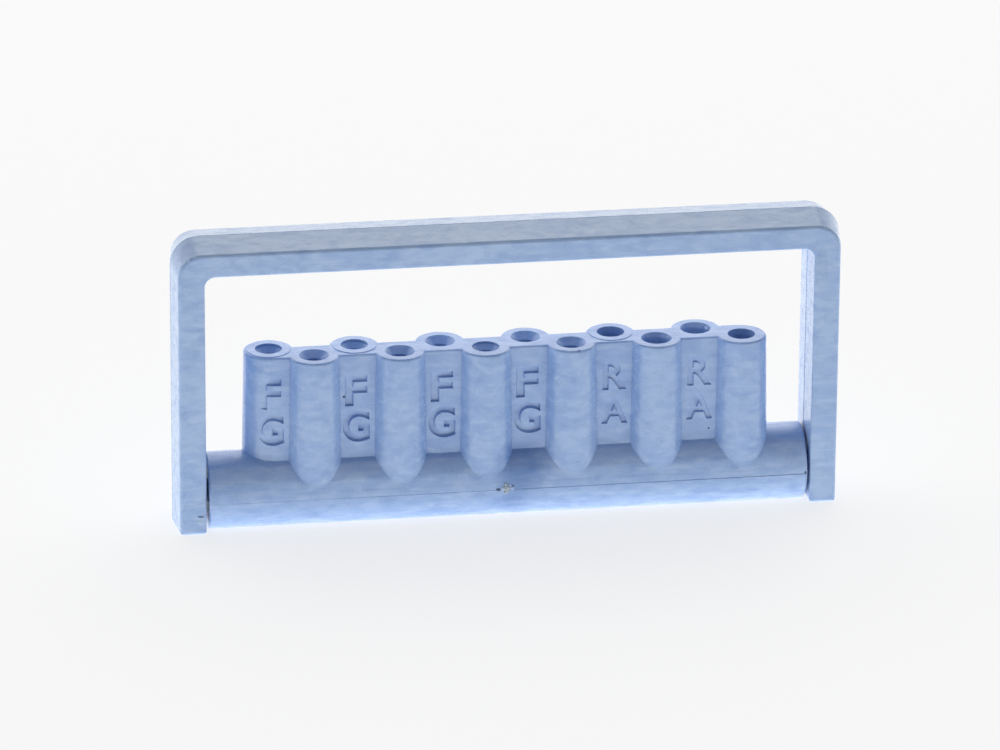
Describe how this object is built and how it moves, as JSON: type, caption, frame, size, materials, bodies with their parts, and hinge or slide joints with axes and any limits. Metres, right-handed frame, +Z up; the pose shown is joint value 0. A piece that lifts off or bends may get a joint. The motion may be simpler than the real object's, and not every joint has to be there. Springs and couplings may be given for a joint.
{
  "type": "dental bur block",
  "caption": "Autoclavable dental bur stand: round base bar with a zig-zag wall of bored tubes, and a rectangular bail that swings over them.",
  "frame": {"origin": "middle of the footprint, on the table", "axes": "+X along the base bar towards the four wider holes, +Y to the back row of tubes, +Z up out of the holes"},
  "size_m": [0.067, 0.0078, 0.0306],
  "materials": {
    "block_plastic": "satin light blue moulded plastic",
    "bail_plastic": "satin light blue moulded plastic"
  },
  "bodies": {
    "block": {"bur_block": "block_plastic"},
    "bail": {"bail": "bail_plastic"}
  },
  "joints": [
    {"name": "bail_swing", "type": "hinge", "parent": "block", "child": "bail", "pos_m": [0, 0, 0.00325], "axis": [1, 0, 0], "continuous": true}
  ]
}
